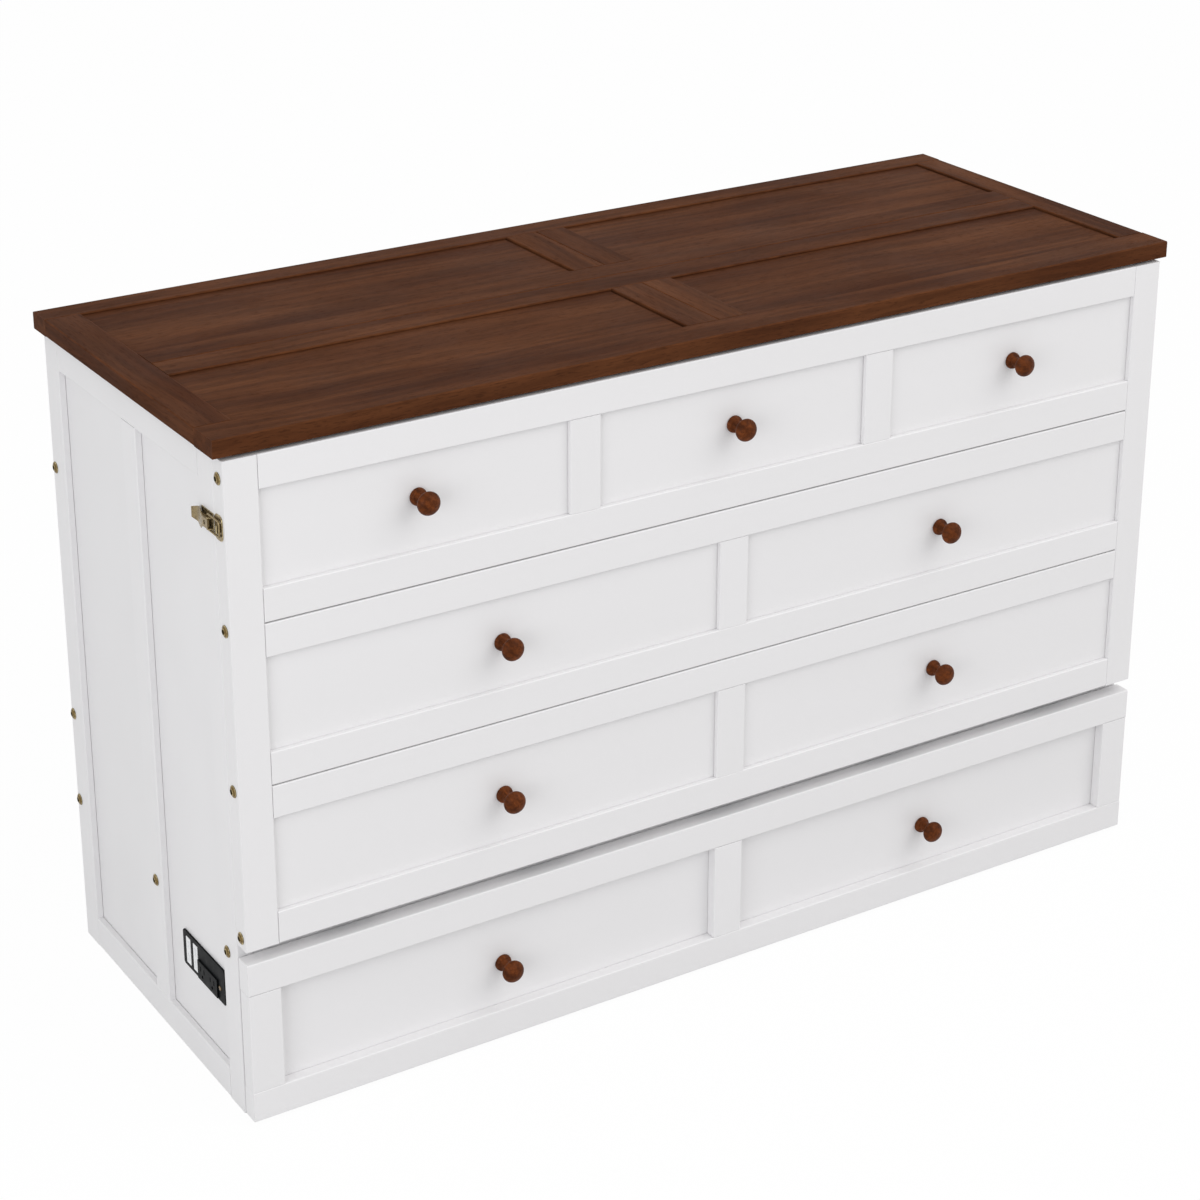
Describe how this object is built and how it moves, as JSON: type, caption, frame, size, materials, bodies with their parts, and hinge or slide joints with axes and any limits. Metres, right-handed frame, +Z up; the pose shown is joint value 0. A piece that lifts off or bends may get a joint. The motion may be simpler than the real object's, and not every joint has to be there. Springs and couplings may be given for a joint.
{
  "type": "cabinet bed",
  "caption": "Closed cabinet bed: white chest with false drawers and a dark wood lid; front, lid and foot frame unfold into a bed, a drawer slides below.",
  "frame": {"origin": "middle of the footprint on the floor, knobs and rear hinges included, with the bed closed", "axes": "+X to the right of someone facing the front, the front faces -Y, +Z up"},
  "size_m": [1.63, 0.6546, 1.031],
  "materials": {
    "white_paint": "white satin lacquer over wood",
    "walnut": "dark brown stain with visible grain, satin",
    "knob_wood": "turned wood, brown stain, satin",
    "pine": "plain planed softwood",
    "antique_brass": "aged brass, soft sheen",
    "steel": "zinc plated",
    "black_plastic": "fine matt texture",
    "white_plastic": "smooth"
  },
  "bodies": {
    "cabinet": {"left_side_stiles": "white_paint", "left_side_rails": "white_paint", "left_side_panels": "white_paint", "right_side_stiles": "white_paint", "right_side_rails": "white_paint", "right_side_panels": "white_paint", "back_stiles": "white_paint", "back_rails": "white_paint", "back_panels": "white_paint", "cabinet_bolts": "antique_brass", "deck_side_rails": "pine", "deck_cross_rails": "white_paint", "deck_centre_beam": "pine", "deck_slats": "pine", "cabinet_hinge_leaves": "steel", "cabinet_hinge_pins": "steel", "cabinet_runners": "steel", "latch_bases": "antique_brass", "outlet_plate": "black_plastic", "outlet_sockets": "black_plastic", "usb_ports": "white_plastic", "outlet_lamp": "antique_brass", "cord_gland": "black_plastic"},
    "lid": {"lid_long_boards": "walnut", "lid_end_boards": "walnut", "lid_centre_boards": "walnut", "lid_cross_boards": "walnut", "lid_panels": "walnut", "lid_battens": "walnut", "lid_hinge_leaves": "steel"},
    "front": {"front_stiles": "white_paint", "front_rails": "white_paint", "front_dividers": "white_paint", "front_panels": "white_paint", "front_slats": "pine", "front_knobs": "knob_wood", "front_bolts": "antique_brass", "latch_keepers": "antique_brass", "front_hinge_leaves": "steel", "foot_hinge_pins": "steel"},
    "foot": {"foot_hinge_leaves": "steel", "foot_side_rails": "pine", "foot_end_rails": "pine", "foot_slats": "pine", "leg_brackets": "steel"},
    "near_leg_frame": {"near_legs": "pine"},
    "far_leg_frame": {"far_legs": "pine"},
    "drawer": {"drawer_front_rails": "white_paint", "drawer_front_stiles": "white_paint", "drawer_front_panels": "white_paint", "drawer_knobs": "knob_wood", "drawer_walls": "pine", "drawer_bottom": "pine", "drawer_runner_bars": "steel"},
    "runners": {"middle_runners": "steel"},
    "left_lever": {"left_latch_lever": "antique_brass"},
    "right_lever": {"right_latch_lever": "antique_brass"},
    "left_loop": {"left_latch_loop": "antique_brass"},
    "right_loop": {"right_latch_loop": "antique_brass"}
  },
  "joints": [
    {"name": "front_hinge", "type": "hinge", "parent": "cabinet", "child": "front", "pos_m": [0, -0.26825, 0.28], "axis": [1, 0, 0], "range_deg": [0, 90]},
    {"name": "foot_fold", "type": "hinge", "parent": "front", "child": "foot", "pos_m": [0, -0.25775, 0.994], "axis": [1, 0, 0], "range_deg": [0, 180]},
    {"name": "lid_hinge", "type": "hinge", "parent": "cabinet", "child": "lid", "pos_m": [0, 0.32275, 1.0005], "axis": [-1, 0, 0], "range_deg": [0, 90]},
    {"name": "near_leg_swing", "type": "hinge", "parent": "foot", "child": "near_leg_frame", "pos_m": [0, -0.20125, 0.94], "axis": [1, 0, 0], "range_deg": [0, 90]},
    {"name": "far_leg_swing", "type": "hinge", "parent": "foot", "child": "far_leg_frame", "pos_m": [0, -0.20125, 0.346], "axis": [-1, 0, 0], "range_deg": [0, 90]},
    {"name": "drawer_slide", "type": "slide", "parent": "cabinet", "child": "drawer", "axis": [0, -1, 0], "range_m": [0, 0.45]},
    {"name": "runner_slide", "type": "slide", "parent": "cabinet", "child": "runners", "axis": [0, -1, 0], "range_m": [0, 0.225]},
    {"name": "left_latch", "type": "hinge", "parent": "cabinet", "child": "left_lever", "pos_m": [-0.8092, -0.25125, 0.903], "axis": [0, 0, 1], "range_deg": [0, 120]},
    {"name": "left_latch_link", "type": "hinge", "parent": "left_lever", "child": "left_loop", "pos_m": [-0.8069, -0.24325, 0.903], "axis": [0, 0, 1], "range_deg": [-120, 0]},
    {"name": "right_latch", "type": "hinge", "parent": "cabinet", "child": "right_lever", "pos_m": [0.8092, -0.25125, 0.903], "axis": [0, 0, -1], "range_deg": [0, 120]},
    {"name": "right_latch_link", "type": "hinge", "parent": "right_lever", "child": "right_loop", "pos_m": [0.8069, -0.24325, 0.903], "axis": [0, 0, -1], "range_deg": [-120, 0]}
  ],
  "couplings": [
    {"joint": "foot_fold", "follows": "front_hinge", "ratio": 2},
    {"joint": "lid_hinge", "follows": "front_hinge", "ratio": 1},
    {"joint": "near_leg_swing", "follows": "front_hinge", "ratio": 1},
    {"joint": "far_leg_swing", "follows": "front_hinge", "ratio": 1},
    {"joint": "runner_slide", "follows": "drawer_slide", "ratio": 0.5},
    {"joint": "left_latch_link", "follows": "left_latch", "ratio": -1},
    {"joint": "right_latch_link", "follows": "right_latch", "ratio": -1}
  ]
}
